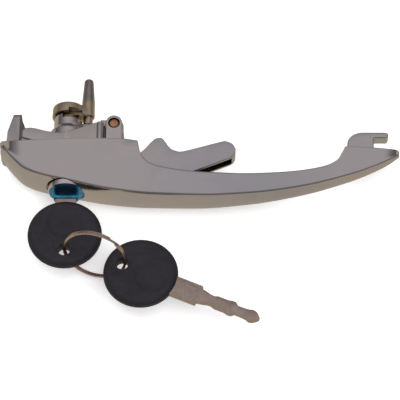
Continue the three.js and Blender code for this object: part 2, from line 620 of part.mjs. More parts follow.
// The ring stands nearly upright through both keys' holes.
const hole1 = new THREE.Vector3(KEY_1.x, KEY_1.headY - KEY.holeFromCentre, 0);
const hole2 = new THREE.Vector3(KEY_2.holeX, KEY_2.holeY, 0);
const along = hole2.clone().sub(hole1).normalize();
const lean = THREE.MathUtils.degToRad(RING.tilt);
const across = new THREE.Vector3(-along.y, along.x, 0);
const upward = new THREE.Vector3(0, 0, Math.cos(lean)).addScaledVector(across, Math.sin(lean));
const ringNormal = new THREE.Vector3().crossVectors(along, upward);
const ringGroup = new THREE.Group();
const ringTurn = new THREE.Matrix4().makeBasis(along, ringNormal, upward.clone().negate());
ringGroup.quaternion.setFromRotationMatrix(ringTurn);
ringGroup.position
  .copy(hole1)
  .add(hole2)
  .multiplyScalar(0.5)
  .addScaledVector(upward, RING.rise)
  .addScaledVector(along, RING.shift);
handle.add(ringGroup);
addMesh("key_ring", makeRing(), nickel, ringGroup);

export default handle;
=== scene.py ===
"""Looks for the exterior car door handle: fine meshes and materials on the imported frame's bodies.

Shapes are written in millimetres from the middle of the handle, X along it, Y into the door, Z up,
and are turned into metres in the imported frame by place().
"""
import math

import bmesh
import bpy
from mathutils import Matrix, Vector


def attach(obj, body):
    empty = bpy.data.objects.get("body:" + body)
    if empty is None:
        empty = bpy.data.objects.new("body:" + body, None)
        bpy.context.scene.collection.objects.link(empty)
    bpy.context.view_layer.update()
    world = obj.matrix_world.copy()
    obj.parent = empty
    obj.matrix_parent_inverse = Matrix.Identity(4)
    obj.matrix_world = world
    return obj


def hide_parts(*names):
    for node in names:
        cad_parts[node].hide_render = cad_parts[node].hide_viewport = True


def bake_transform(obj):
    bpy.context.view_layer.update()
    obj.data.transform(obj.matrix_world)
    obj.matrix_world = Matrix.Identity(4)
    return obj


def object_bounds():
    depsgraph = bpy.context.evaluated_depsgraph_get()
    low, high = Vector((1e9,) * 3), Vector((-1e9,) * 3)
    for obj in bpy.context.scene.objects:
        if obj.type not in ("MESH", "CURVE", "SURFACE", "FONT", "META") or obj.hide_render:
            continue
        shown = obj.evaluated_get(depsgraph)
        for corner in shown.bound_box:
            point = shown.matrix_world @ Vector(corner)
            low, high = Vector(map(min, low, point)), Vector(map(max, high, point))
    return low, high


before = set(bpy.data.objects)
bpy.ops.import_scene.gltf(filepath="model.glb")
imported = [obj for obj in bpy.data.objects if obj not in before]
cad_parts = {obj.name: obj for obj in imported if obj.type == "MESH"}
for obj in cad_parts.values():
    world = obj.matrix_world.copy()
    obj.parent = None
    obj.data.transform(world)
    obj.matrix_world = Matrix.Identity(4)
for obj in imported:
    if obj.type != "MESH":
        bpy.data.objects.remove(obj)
cad_lo, cad_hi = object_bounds()

MM = 0.001
SEAT_X = -90.0
LOCK_X = -61.0
PIVOT_X, PIVOT_Y = -39.6, 12.5
TAU = 2 * math.pi


def place(x, y, z):
    """A point of the frame, in metres, from the drawing's millimetres."""
    return ((x - SEAT_X) * MM, y * MM, z * MM)


def drawn(point):
    """The drawing's millimetres for a point of the frame."""
    return Vector((point.x / MM + SEAT_X, point.y / MM, point.z / MM))


# ---------------------------------------------------------------- mesh helpers
def mesh_object(name, points, faces, sharp=35.0):
    """A cleaned mesh object from points in millimetres; edges over sharp degrees shade as creases."""
    mesh = bpy.data.meshes.new(name)
    mesh.from_pydata([place(*p) for p in points], [], faces)
    mesh.validate()
    obj = bpy.data.objects.new(name, mesh)
    bpy.context.scene.collection.objects.link(obj)
    clean(obj, sharp)
    return obj


def clean(obj, sharp=35.0, weld=1e-7):
    """Welds a closed mesh, turns its faces outwards and sets its shading."""
    bm = bmesh.new()
    bm.from_mesh(obj.data)
    bmesh.ops.remove_doubles(bm, verts=bm.verts, dist=weld)
    bmesh.ops.recalc_face_normals(bm, faces=bm.faces)
    if bm.calc_volume(signed=True) < 0:
        bmesh.ops.reverse_faces(bm, faces=bm.faces)
    bm.to_mesh(obj.data)
    bm.free()
    obj.data.shade_smooth()
    obj.data.set_sharp_from_angle(angle=math.radians(sharp))


def bevel(obj, width, segments=3, angle=40.0, sharp=35.0, keep=None):
    """Rounds edges that turn by more than angle; keep is a test on an edge's two points, in millimetres."""
    bm = bmesh.new()
    bm.from_mesh(obj.data)
    edges = []
    for e in bm.edges:
        if len(e.link_faces) != 2 or e.calc_face_angle(0.0) < math.radians(angle):
            continue
        if keep is None or keep(*[drawn(v.co) for v in e.verts]):
            edges.append(e)
    bmesh.ops.bevel(bm, geom=edges, offset=width * MM, segments=segments, profile=0.5, affect="EDGES",
                    clamp_overlap=True, harden_normals=False)
    bm.to_mesh(obj.data)
    bm.free()
    clean(obj, sharp)
    return obj


def boolean(obj, others, operation, sharp=35.0):
    """Joins, cuts or keeps the common part of closed meshes, and removes the tools."""
    for other in others:
        modifier = obj.modifiers.new("boolean", "BOOLEAN")
        modifier.operation = operation
        modifier.solver = "EXACT"
        modifier.object = other
        bpy.context.view_layer.update()
        evaluated = obj.evaluated_get(bpy.context.evaluated_depsgraph_get())
        made = bpy.data.meshes.new_from_object(evaluated)
        obj.modifiers.clear()
        obj.data = made
        bpy.data.objects.remove(other)
    clean(obj, sharp)
    return obj


def join(obj, *others):
    return boolean(obj, others, "UNION")


def cut(obj, *others):
    return boolean(obj, others, "DIFFERENCE")


def keep_common(obj, other):
    return boolean(obj, [other], "INTERSECT")


def prism(name, outline, low, high, to_point):
    """A closed prism over an outline; to_point turns (u, v, w) into a point."""
    count = len(outline)
    points = [to_point(u, v, low) for u, v in outline] + [to_point(u, v, high) for u, v in outline]
    faces = [list(range(count))[::-1], list(range(count, 2 * count))]
    faces += [[i, (i + 1) % count, count + (i + 1) % count, count + i] for i in range(count)]
    return mesh_object(name, points, faces)


def plate_z(name, outline, z0, z1):
    return prism(name, outline, z0, z1, lambda u, v, w: (u, v, w))


def block(name, low, high):
    """A box between two opposite corners."""
    (x0, y0, z0), (x1, y1, z1) = low, high
    return plate_z(name, [(x0, y0), (x1, y0), (x1, y1), (x0, y1)], z0, z1)


def circle(x, y, radius, sides):
    """Points round a circle."""
    return [(x + radius * math.cos(TAU * i / sides), y + radius * math.sin(TAU * i / sides))
            for i in range(sides)]


def turn_profile(profile, sides, to_point):
    """Points and rings of a profile of (radius, level) turned about an axis; a radius of 0 is one point."""
    points, rings = [], []
    for radius, level in profile:
        ring = circle(0, 0, radius, sides) if radius > 1e-6 else [(0, 0)]
        rings.append([len(points) + i for i in range(len(ring))])
        points += [to_point(u, v, level) for u, v in ring]
    return points, rings


def lathe_y(name, profile, x, z, sides=72, sharp=35.0):
    """Turns a closed profile of (radius, y) about the line along Y through (x, z)."""
    points, rings = turn_profile(profile, sides, lambda u, v, y: (x + u, y, z + v))
    return mesh_object(name, points, ring_faces(rings, sides), sharp)


def ring_faces(rings, sides):
    """Faces between rings that follow each other; a ring of one point is the tip of a fan."""
    faces = []
    for a, b in zip(rings, rings[1:]):
        for i in range(sides):
            j = (i + 1) % sides
            corners = [a[i % len(a)], a[j % len(a)], b[j % len(b)], b[i % len(b)]]
            faces.append([c for k, c in enumerate(corners) if c not in corners[:k]])
    return [f for f in faces if len(f) > 2]


def post_z(name, x, y, radius, z0, z1, sides=56):
    """A round post along Z."""
    return plate_z(name, circle(x, y, radius, sides), z0, z1)


def rounded(profile, radius, steps=3):
    """Rounds the corners of an open (radius, y) profile, ends left as they are."""
    out = [profile[0]]
    for before, here, after in zip(profile, profile[1:], profile[2:]):
        a, b, c = Vector(before), Vector(here), Vector(after)
        reach = min(radius, (a - b).length * 0.45, (c - b).length * 0.45)
        start, end = b + (a - b).normalized() * reach, b + (c - b).normalized() * reach
        for i in range(steps + 1):
            t = i / steps
            p = start * (1 - t) ** 2 + b * 2 * t * (1 - t) + end * t ** 2
            out.append((p.x, p.y))
    out.append(profile[-1])
    return out


def smooth(knots, count):
    """Points of a Catmull-Rom curve through 2-D knots."""
    spans = len(knots) - 1
    out = []
    for i in range(count + 1):
        t = i / count * spans
        k = min(int(t), spans - 1)
        t -= k
        p = [knots[max(0, min(spans, k + d))] for d in (-1, 0, 1, 2)]
        if k == 0:
            p[0] = (2 * p[1][0] - p[2][0], 2 * p[1][1] - p[2][1])
        if k == spans - 1:
            p[3] = (2 * p[2][0] - p[1][0], 2 * p[2][1] - p[1][1])
        out.append(tuple(
            0.5 * (2 * b + (c - a) * t + (2 * a - 5 * b + 4 * c - d) * t * t
                   + (3 * b - a - 3 * c + d) * t ** 3)
            for a, b, c, d in zip(*p)))
    return out


def follow(knots, x):
    """A value that follows (x, value) knots without overshoot."""
    if x <= knots[0][0]:
        return knots[0][1]
    if x >= knots[-1][0]:
        return knots[-1][1]
    nxt = next(i for i, k in enumerate(knots) if k[0] >= x)

    def slope(i):
        sides = [(knots[j + 1][1] - knots[j][1]) / (knots[j + 1][0] - knots[j][0])
                 for j in (i - 1, i) if 0 <= j < len(knots) - 1]
        if len(sides) == 1:
            return sides[0]
        before, after = sides
        return 0.0 if before * after <= 0 else 2 * before * after / (before + after)

    (x0, v0), (x1, v1) = knots[nxt - 1], knots[nxt]
    width = x1 - x0
    t = (x - x0) / width
    return ((2 * t ** 3 - 3 * t ** 2 + 1) * v0 + (t ** 3 - 2 * t ** 2 + t) * width * slope(nxt - 1)
            + (3 * t ** 2 - 2 * t ** 3) * v1 + (t ** 3 - t ** 2) * width * slope(nxt))


def spread(start, end, count):
    """count equal steps from start to end, both ends included."""
    return [start + (end - start) * i / count for i in range(count + 1)]


def bend(a, b, c, count):
    """Points of a quadratic curve from a to c, drawn towards b."""
    return [tuple((1 - t) ** 2 * p + 2 * t * (1 - t) * q + t * t * r for p, q, r in zip(a, b, c))
            for t in spread(0, 1, count)]


def set_up(obj, angle, axis, at):
    """Turns a mesh that was drawn about the handle's middle, and moves that middle to at."""
    for matrix in (Matrix.Translation(Vector(place(0, 0, 0))).inverted(), Matrix.Rotation(angle, 4, axis),
                   Matrix.Translation(Vector(place(*at)))):
        obj.data.transform(matrix)


# ---------------------------------------------------------------- the casting
# Each table is (x, value): the outer face's depth, half heights of the face and of the door rim, how
# late the flank flares out between them, the round of the edge between face and flank, and the door
# side's depth over the gap for the fingers. CROWN is the outer face's bulge where it is 9 to each side.
FACE_Y = [(-91.5, -1.5), (-90, -3.2), (-86.3, -8.1), (-80.5, -13.8), (-72.9, -17), (-59.6, -20.2),
          (-40.7, -24.2), (-23, -26), (0, -26.5), (23, -24.8), (46, -20.7), (69, -13.6), (81.2, -8.2),
          (87.4, -4.7), (91.5, -1.8)]
FACE_HALF = [(-91.5, 4.6), (-90.4, 7.3), (-89, 8.0), (-86, 8.4), (-75, 9.4), (-61, 9.3), (-40, 8.6),
             (-20, 7.8), (0, 7.25), (46, 5.3), (69, 4.2), (86, 2.9), (91.5, 1.2)]
BASE_HALF = [(-91.5, 9.2), (-90.4, 11.1), (-88.4, 11.7), (-74.5, 13.1), (-51, 14.3), (-36, 13.9),
             (-28.3, 12), (-24, 8.9), (-18, 7.3), (0, 6.6), (40, 6.1), (60, 6.6), (66.5, 7), (80, 5.8),
             (88.5, 4.4), (90.6, 3.6), (91.5, 2)]
FLARE = [(-91.5, 1.6), (-45, 1.3), (-29, 4), (-22, 3), (0, 1), (60, 1), (66, 1.2), (91.5, 1.2)]
EDGE_ROUND = [(-91.5, 2.4), (-84, 3.0), (-72, 2.6), (-45, 2.2), (46, 1.9), (70, 1.5), (91.5, 1.0)]
FINGER_GAP = [(-28.4, 0), (-27.2, -4.6), (-25, -7.7), (-21.4, -9.8), (-15, -11.4), (-4, -12.9), (7, -13.5),
              (22, -13.7), (42, -12.2), (56, -9.5), (62.4, -6.4), (65, -2.6), (66.5, 0)]
CROWN = 0.9
WALL = 2.4
SCREW_HOLE_Y = 11.6
LUG_HALF_X, LUG_TOP_R = 3.8, 4.2


def flank_z(x, y, edge_y, inset=0.0, reach=0.0):
    """The flank's half height at depth y, between the face's edge at edge_y and the rim at reach."""
    face_half = max(0.3, follow(FACE_HALF, x) - inset)
    base_half = max(0.5, follow(BASE_HALF, x) - inset)
    share = max(0.0, min(1.0, (y - edge_y) / (reach - edge_y)))
    return face_half + (base_half - face_half) * share ** follow(FLARE, x)


def section(x, top, top_round, inset=0.0):
    """Half a section at x as (y, z), from the middle of the door side to the middle of the outer face."""
    face_y = follow(FACE_Y, x) + inset
    face_half = max(0.3, follow(FACE_HALF, x) - inset)
    turn = min(follow(EDGE_ROUND, x), face_half * 0.4)
    edge_y = min(face_y + CROWN * (face_half / 9) + turn, -0.2)
    top_round = min(top_round, (top - edge_y) * 0.45)
    reach = -top_round * max(0.0, 1 + top / 3) if top <= 0 else 0.0
    z_low = flank_z(x, top - top_round, edge_y, inset, reach)
    z_top = z_low - top_round
    points = [(top, z_top * share) for share in (0, 0.5, 1)]
    for i in range(1, 6):
        a = math.pi / 2 * i / 5
        points.append((top - top_round * (1 - math.cos(a)), z_top + top_round * math.sin(a)))
    for share in spread(1, 0, 12)[1:]:
        y = edge_y + (top - top_round - edge_y) * share
        points.append((y, flank_z(x, y, edge_y, inset, reach)))
    for i in range(1, 7):
        a = math.radians(75) * i / 6
        points.append((edge_y - turn * math.sin(a), face_half - turn * (1 - math.cos(a))))
    low_y, low_z = points[-1]
    for share in (0.85, 0.6, 0.3, 0):
        points.append((face_y + (low_y - face_y) * share ** 2, low_z * share))
    return points


def loft(name, stations):
    """A closed skin through (x, half section) stations."""
    points, rings = [], []
    for x, half in stations:
        loop = half + [(y, -z) for y, z in half[-2:0:-1]]
        rings.append([len(points) + i for i in range(len(loop))])
        points += [(x, y, z) for y, z in loop]
    sides = len(rings[0])
    faces = [rings[0][::-1], rings[-1]] + ring_faces(rings, sides)
    return mesh_object(name, points, faces)


def shell():
    """The outer skin, its sections closer together at the nose and tail, and a smaller one in each end."""
    nose = [-91.5, -91.35, -91.1, -90.7, -90.2, -89.5, -88.6, -87.6, -86.5, -85.2, -83.8]
    nose += spread(-82.4, -28.6, 44)
    tail = spread(66.7, 88.5, 20) + [89.3, 90, 90.6, 91, 91.3, 91.5]
    stations = []
    for x, top in [(x, 0.0) for x in nose] + smooth(FINGER_GAP, 84) + [(x, 0.0) for x in tail]:
        lip = 0.45 if top > -0.5 else 0.45 + 0.35 * min(1, (-0.5 - top) / 4)
        stations.append((x, section(x, top, lip)))
    for shrink, end in [(0.86, 0), (0.72, -1)]:
        x, half = stations[end]
        mid = half[-1][0] / 2
        small = (x, [(mid + (y - mid) * shrink, z * shrink) for y, z in half])
        stations = [small] + stations if end == 0 else stations + [small]
    return loft("handle_body_skin", stations)


def cavity():
    """The hollow in the head of the casting, which leaves a wall of WALL and is open towards the door."""
    stations = [(x, [(1.0, 0), (1.0, follow(BASE_HALF, x) - WALL)] + section(x, 0.0, 0.05, WALL)[3:])
                for x in spread(-88.5, -31, 30)]
    return loft("cavity", stations)


def boss():
    """The lock boss: a turned post with a wedge, a stop for the lever and a window for its spring."""
    profile = rounded([(0, -18), (11, -17.8), (9.6, -8), (8.3, 0), (8.3, 10.3), (6.5, 12.4), (6.5, 18.5),
                       (4, 18.5), (4, 16), (0, 16)], 0.5)
    turned = lathe_y("boss", profile, LOCK_X, 0, 72)
    keep = loft("keep", [(x, section(x, 24.0, 0.1, 1.0)) for x in spread(-80, -34, 16)])
    turned = keep_common(turned, keep)
    stop_outline = [(-55, -10), (-55, 14.2), (-51.2, 14.2), (-51.2, -10), (-55, -10)]
    stop = plate_z("stop", rounded(stop_outline, 0.4), -2.7, 2.7)
    window = block("window", (LOCK_X - 2.4, 16.1, -9), (LOCK_X + 9, 20, 9))
    shoulder = [(0, 6.4), (3.4, 6.1), (7.4, 3.3), (7.4, -3.3), (3.4, -6.1), (0, -6.4)]
    wedge = prism("wedge", shoulder, 4.3, 14.3, lambda u, v, w: (LOCK_X + u, w, v))
    turned = join(turned, stop, bevel(wedge, 0.5, 3, 30))
    return cut(turned, window)


def lug():
    """The screw lug at the lock's end: its slanted side crossed with its rounded front, and a thread."""
    side = [(-88.9, -1.5), (-88.5, 8.5), (-85.8, 18.9), (-82.3, 18.9), (-82, 15.6), (-80.4, 11.5),
            (-81, -1.5)]
    front = [(6.6, -4)] + bend((5.2, 16.6), (5.0, 18.9), (3.0, 18.9), 8)
    front = front + [(-z, y) for z, y in front[::-1]]
    obj = keep_common(plate_z("lug", rounded(side + [side[0]], 0.8)[:-1], -8, 8),
                      prism("front", front, -90, -78, lambda z, y, x: (x, y, z)))
    corner = [(-83.2, 6.4), (-79.6, 3.4), (-79.6, 9), (-83.2, 9)]
    lean = 0.068
    cut(obj, *[prism("chamfer", corner, 0, 24, lambda u, v, w, way=way: (u, w, way * (v - lean * w)))
               for way in (1, -1)])
    bevel(obj, 0.45, 3, 30)
    crest, root, half_pitch = 2.12, 2.5, 0.4
    grooves = [(root if i % 2 else crest, -100 + 9.5 + i * half_pitch) for i in range(46)]
    tool = lathe_y("thread", [(0, -100)] + grooves + [(0, -70)], 0, 0, 40)
    set_up(tool, -math.pi / 2, "Z", (0, SCREW_HOLE_Y, 0))
    return cut(obj, tool)


def pivot_lug(side):
    """One of the two ears that hold the trigger's pin, on one side of the arm."""
    arc = [(PIVOT_X + LUG_HALF_X * math.cos(a), PIVOT_Y + LUG_TOP_R * math.sin(a))
           for a in spread(0, math.pi, 28)]
    outline = [(PIVOT_X - LUG_HALF_X, -21), (PIVOT_X + LUG_HALF_X, -21)] + arc
    low, high = sorted((side * 4.3, side * 7))
    return bevel(plate_z("pivot_lug", outline, low, high), 0.5, 4, 50)


def rib(side):
    """A wavy locating rib with its notch, the column at its end, and the web beside the pivot lug."""
    top = smooth([(-81.6, 7.6), (-80.2, 8.9), (-76.8, 9.2), (-70, 7.4), (-64, 6.8), (-57.7, 8.4),
                  (-50, 11.4), (-46, 12.2)], 36)
    low, high = sorted((side * 6.7, side * 8.3))
    plate = bevel(plate_z("rib", [(-46, -19), (-81.6, -10)] + top, low, high), 0.5, 4, 50)
    low, high = sorted((side * 7.2, side * 9))
    cut(plate, plate_z("notch", [(-84, -1), (-75.6, -1), (-75.6, 2.4), (-81.6, 4.4), (-84, 4.8)], low, high))
    post = rounded([(0, -19), (1.8, -19), (1.8, 12.2), (0, 12.2)], 0.6)
    column = lathe_y("column", post, -46, side * 7.2, 32)
    low, high = sorted((side * 4.9, side * 5.8))
    web = block("web", (-47, -19, low), (-42.9, 10.5, high))
    return [plate, column, bevel(web, 0.3, 2, 50)]


def hook():
    """The hook foot at the tail: a curved heel, a flat top with a round end, and the throat under it."""
    outline = [(67.8, -2), (67.8, 4.2)]
    a, b, c, d = (67.8, 4.2), (67.9, 6.6), (70.2, 9.4), (74.4, 9.9)
    for t in spread(0, 1, 12)[1:]:
        outline.append(tuple((1 - t) ** 3 * p + 3 * t * (1 - t) ** 2 * q + 3 * t * t * (1 - t) * r
                             + t ** 3 * s for p, q, r, s in zip(a, b, c, d)))
    outline.append((85.2, 9.9))
    end_r = 1.45
    outline += [(85.4 + end_r * math.sin(math.pi * t), 8.45 + end_r * math.cos(math.pi * t))
                for t in spread(0, 1, 12)[1:]]
    outline += [(81.0, 7.0), (80.4, 6.9), (80.05, 6.6), (79.9, 6.0), (79.9, -2)]
    return bevel(plate_z("hook", outline, -3, 3), 0.6, 4, 50)


def make_body():
    """The casting: the skin, hollowed, with everything cast on it and the holes through it."""
    body = shell()
    cut(body, cavity())
    channel_floor = [(x, follow(FACE_Y, x) + 3) for x in spread(-33, 16, 24)]
    cut(body, plate_z("channel", [(-33, 2)] + channel_floor + [(21, -12), (21, 2)], -4.5, 4.5))
    parts = [boss(), lug(), pivot_lug(1), pivot_lug(-1), *rib(1), *rib(-1), hook()]
    join(body, *parts)
    tools = [
        lathe_y("cap_seat", rounded([(0, -40), (8.75, -40), (8.75, -17.4), (0, -17.4)], 0.1),
                LOCK_X - 0.35, 0),
        lathe_y("head_seat", [(0, -40), (7.3, -40), (7.3, -12.1), (0, -12.1)], LOCK_X, 0),
        lathe_y("bore", [(0, -40), (5.5, -40), (5.5, 40), (0, 40)], LOCK_X, 0),
        post_z("pin_hole", PIVOT_X, PIVOT_Y, 2.75, -20, 20),
    ]
    cut(body, *tools)
    body.name = "casting"
    clean(body, 32)
    return body


# ---------------------------------------------------------------- the trigger
# Outlines in the XY plane: the arm's back, the inner side of that wall, the arm's front, and the
# front of the tool that hollows it.
TRIGGER_BACK = [(-35.2, 9), (-34.2, 4.5), (-31.4, 0.2), (-28.6, -1.6), (-26.2, -0.4), (-21.9, 4.9),
                (-19.4, 6.5), (-17, 5.9), (-13.9, 1.3), (-11, -0.4), (-7, -0.5), (9.1, 4.3), (12, 4.7),
                (15, 3.2), (16.4, 0.6)]
TRIGGER_INNER = [(-36.9, 8.4), (-35.8, 3.9), (-32.5, -1.1), (-28.6, -3.2), (-25.2, -1.7), (-21, 3.6),
                 (-19.3, 4.8), (-17.9, 4.2), (-15.1, 0.2), (-11.5, -2), (-6.9, -2.1), (9.4, 2.7), (12, 3),
                 (13.6, 2), (14.6, 0.2)]
TRIGGER_FRONT = [(16.3, -1.2), (15.4, -3.1), (13.75, -4.3), (6, -7.6), (-2, -10.9), (-8, -13.4),
                 (-12, -14.6), (-15, -14.6), (-18, -14), (-25, -9.6), (-36, -1)]
HOLLOW_FRONT = [(14.6, -8), (2, -16), (-12, -20), (-20, -20), (-30, -12), (-41, -3), (-47, 8.6), (-39, 10)]
ARM_HALF, HOLLOW_HALF = 3.75, 2.35


def make_trigger():
    """The squeeze trigger: a rounded channel with its eye, its toe and the room for the spring."""
    outline = smooth(TRIGGER_BACK, 84) + TRIGGER_FRONT + [(PIVOT_X - 3, PIVOT_Y - 3), (PIVOT_X, PIVOT_Y + 2)]
    arm = bevel(plate_z("arm", outline, -ARM_HALF, ARM_HALF), 1.2, 5, 60,
                keep=lambda a, b: abs(a.z - b.z) < 0.1 and max(a.x, b.x) > -36)
    eye = bevel(post_z("eye", PIVOT_X, PIVOT_Y, 4.4, -ARM_HALF, ARM_HALF), 0.4, 3, 50)
    toe = block("toe", (PIVOT_X - 6.4, PIVOT_Y + 0.6, -3), (PIVOT_X - 2, PIVOT_Y + 4, 3))
    join(arm, eye, bevel(toe, 0.4))
    hollow = plate_z("hollow", smooth(TRIGGER_INNER, 80) + HOLLOW_FRONT, -HOLLOW_HALF, HOLLOW_HALF)
    relief = block("relief", (PIVOT_X - 6, PIVOT_Y - 5, -HOLLOW_HALF), (PIVOT_X, PIVOT_Y - 1, HOLLOW_HALF))
    cut(arm, hollow, relief, post_z("coil_room", PIVOT_X, PIVOT_Y, 3.85, -HOLLOW_HALF, HOLLOW_HALF),
        post_z("pin_room", PIVOT_X, PIVOT_Y, 2.55, -9, 9))
    arm.name = "trigger"
    clean(arm, 32)
    return arm


def make_pin():
    """The pivot pin with its two softly chamfered ends."""
    profile = [(0, -7.2), (1.3, -7.2), (1.95, -7.0), (2.25, -6.6)]
    pin = lathe_y("pivot_pin", profile + [(r, -y) for r, y in profile[::-1]], 0, 0, 48)
    set_up(pin, math.pi / 2, "X", (PIVOT_X, PIVOT_Y - 0.1, 0))
    clean(pin, 50)
    return pin


# ---------------------------------------------------------------- wires
def tube(name, points, radius, sides=12):
    """A round wire along points, a little thinner at its two ends."""
    path = [Vector(p) for p in points]
    count = len(path)
    rings, verts = [], []
    normal = None
    for i, here in enumerate(path):
        before = path[i - 1] if i else here
        after = path[i + 1] if i < count - 1 else here
        tangent = (after - before).normalized()
        if normal is None:
            normal = tangent.orthogonal().normalized()
        normal = (normal - tangent * normal.dot(tangent)).normalized()
        binormal = tangent.cross(normal)
        end = 0.72 if i in (0, count - 1) else 1.0
        rings.append([len(verts) + k for k in range(sides)])
        for k in range(sides):
            a = TAU * k / sides
            verts.append(here + (normal * math.cos(a) + binormal * math.sin(a)) * radius * end)
    faces = ring_faces(rings, sides) + [rings[0][::-1], rings[-1]]
    return mesh_object(name, verts, faces, 50)


def curve3(knots, count):
    """Points of a Catmull-Rom curve through 3-D knots."""
    flat = smooth([(k[0], k[1]) for k in knots], count)
    high = smooth([(i, k[2]) for i, k in enumerate(knots)], count)
    return [(x, y, z) for (x, y), (_, z) in zip(flat, high)]


def trigger_spring():
    """The torsion spring round the pivot pin, with one leg on the casting and one on the trigger."""
    turns = []
    for i in range(45):
        a = -0.5 + i / 44 * 3.67 * TAU
        turns.append((PIVOT_X + 2.95 * math.cos(a), PIVOT_Y + 2.95 * math.sin(a), -1.65 + 3.3 * i / 44))
    knots = [(PIVOT_X - 3, PIVOT_Y - 11.6, -1.65), (PIVOT_X + 0.3, PIVOT_Y - 5.6, -1.65)] + turns
    knots += [(PIVOT_X + 0.6, PIVOT_Y - 6.2, 1.65), (PIVOT_X + 4.4, PIVOT_Y - 12, 1.65)]
    return tube("trigger_spring", curve3(knots, 300), 0.32)


def cam_spring():
    """The spring in the window of the lock boss that brings the lever back."""
    turns = []
    for i in range(31):
        a = -1.5 + i / 30 * 2.5 * TAU
        turns.append((LOCK_X + 4.8 * math.cos(a), 16.8 + 2 * i / 30, 4.8 * math.sin(a)))
    knots = [(LOCK_X + 8.4, 13.4, -3.3), (LOCK_X + 8.4, 16, -3.3), (LOCK_X + 7.4, 16.8, -3.5)] + turns[1:-3]
    knots += [(LOCK_X + 5.3, 18.8, 3.2), (LOCK_X + 9, 18.75, 3.4)]
    return tube("lever_spring", curve3(knots, 300), 0.3)


# ---------------------------------------------------------------- the lock
CAP_OUT = -20.4
FILM_R, FILM_OUT, FILM_IN = 8.0, -20.85, -20.65
FILM_SHIFT_X, FILM_SHIFT_Z = 0.2, -0.3
SLEEVE_HALF_X, SLEEVE_HALF_Z, SLEEVE_END = 5.6, 1.8, -24.3
WAFERS, WAFER_FIRST, WAFER_STEP = 8, -8, 2.9
FINGER_X = LOCK_X + 9.1


def slot_block(half_x, half_z, y0, y1):
    """A tool for the key slot."""
    return block("slot", (LOCK_X - half_x, y0, -half_z), (LOCK_X + half_x, y1, half_z))


def make_plug():
    """The turning core: a head, a barrel slotted for the key and the wafers, and a flatted, grooved shank."""
    profile = rounded([(0, -17.8), (7, -17.8), (7, -12.4), (5.2, -12.4), (5.2, 16.2), (3.3, 16.2),
                       (3.3, 24.1), (2.6, 24.1), (2.6, 25), (3.3, 25), (3.3, 25.6), (0, 25.6)], 0.2)
    plug = lathe_y("plug", profile, LOCK_X, 0, 64)
    tools = [slot_block(5.2, 1.4, -30, -12.6), slot_block(4.1, 1.4, -30, 15.8)]
    for i in range(WAFERS):
        y = WAFER_FIRST + i * WAFER_STEP
        tools.append(block("slot", (LOCK_X - 9, y - 0.3, -2.8), (LOCK_X + 9, y + 1.1, 2.8)))
    for side in (1, -1):
        low, high = sorted((side * 2.4, side * 5))
        tools.append(block("flat", (LOCK_X - 5, 18.9, low), (LOCK_X + 5, 30, high)))
    return cut(plug, *tools)


def make_cap():
    """The bright face cap with a raised bead round its edge and the key slot through it."""
    profile = [(0, CAP_OUT), (7.6, CAP_OUT), (7.8, -20.5), (8.1, CAP_OUT), (8.28, -20.1), (8.35, -19.7),
               (8.35, -18.1), (0, -18.1)]
    cap = lathe_y("cap", profile, LOCK_X, 0, 72)
    return cut(cap, slot_block(5.3, 1.5, -30, -10))


def make_film():
    """A thin film over the cap's face, slightly rippled, with a short sleeve standing out round the key."""
    sides, rings, points = 72, [], []
    share = (0, 0.25, 0.5, 0.75, 0.92, 1)
    for level, radii in ((FILM_OUT, share), (FILM_IN, share[::-1])):
        for part in radii:
            r = part * FILM_R
            if r < 1e-6:
                rings.append([len(points)])
                points.append((LOCK_X, level, 0))
                continue
            rings.append([len(points) + i for i in range(sides)])
            for i in range(sides):
                a = TAU * i / sides
                ripple = 0.035 * math.sin(3 * a + 0.6) * part ** 2
                points.append((LOCK_X + FILM_SHIFT_X + r * math.cos(a), level + ripple,
                               r * math.sin(a) + FILM_SHIFT_Z))
    film = mesh_object("film", points, ring_faces(rings, sides), 60)
    sleeve = bevel(block("sleeve", (LOCK_X - SLEEVE_HALF_X, SLEEVE_END, -SLEEVE_HALF_Z),
                         (LOCK_X + SLEEVE_HALF_X, -20.7, SLEEVE_HALF_Z)), 0.25, 3, 50)
    return cut(join(film, sleeve), slot_block(5.3, 1.5, -30, -10))


def make_cam():
    """The lever: a recessed disc on the plug's flats, an arm, the tall finger and the stub under it."""
    hub = lathe_y("hub", rounded([(0, 19.2), (7.5, 19.2), (7.3, 24), (0, 24)], 0.35), LOCK_X, 0, 72)
    arc = [(FINGER_X + 3 * math.sin(math.pi * t), 3 * math.cos(math.pi * t)) for t in spread(0, 1, 16)]
    outline = [(LOCK_X + 2, 6.3)] + arc + [(LOCK_X + 2, -6.3)]
    arm = bevel(prism("lever_arm", outline, 19.25, 23.95, lambda u, v, w: (u, w, v)), 0.35, 3, 50)
    tall = rounded([(0, 19.2), (3, 19.2), (3, 27), (2.15, 39.2), (1.5, 40), (0, 40)], 0.5)
    short = rounded([(0, 14.7), (1.5, 14.7), (2.2, 15.5), (2.2, 19.6), (0, 19.6)], 0.25)
    join(hub, arm, lathe_y("finger", tall, FINGER_X, 0, 40), lathe_y("stub", short, FINGER_X, 0, 32))
    bore_r, flat_half = 3.6, 2.7
    flat = math.acos(flat_half / bore_r)
    arcs = [spread(-math.pi / 2 + flat, math.pi / 2 - flat, 16),
            spread(math.pi / 2 + flat, 1.5 * math.pi - flat, 16)]
    double_d = [(LOCK_X + bore_r * math.cos(a), bore_r * math.sin(a)) for arc in arcs for a in arc]
    cut(hub, prism("bore", double_d, 10, 30, lambda u, v, w: (u, w, v)),
        block("recess", (LOCK_X + 0.4, 18.2, 3.2), (LOCK_X + 6.6, 20.9, 9)))
    hub.name = "lever"
    clean(hub, 32)
    return hub


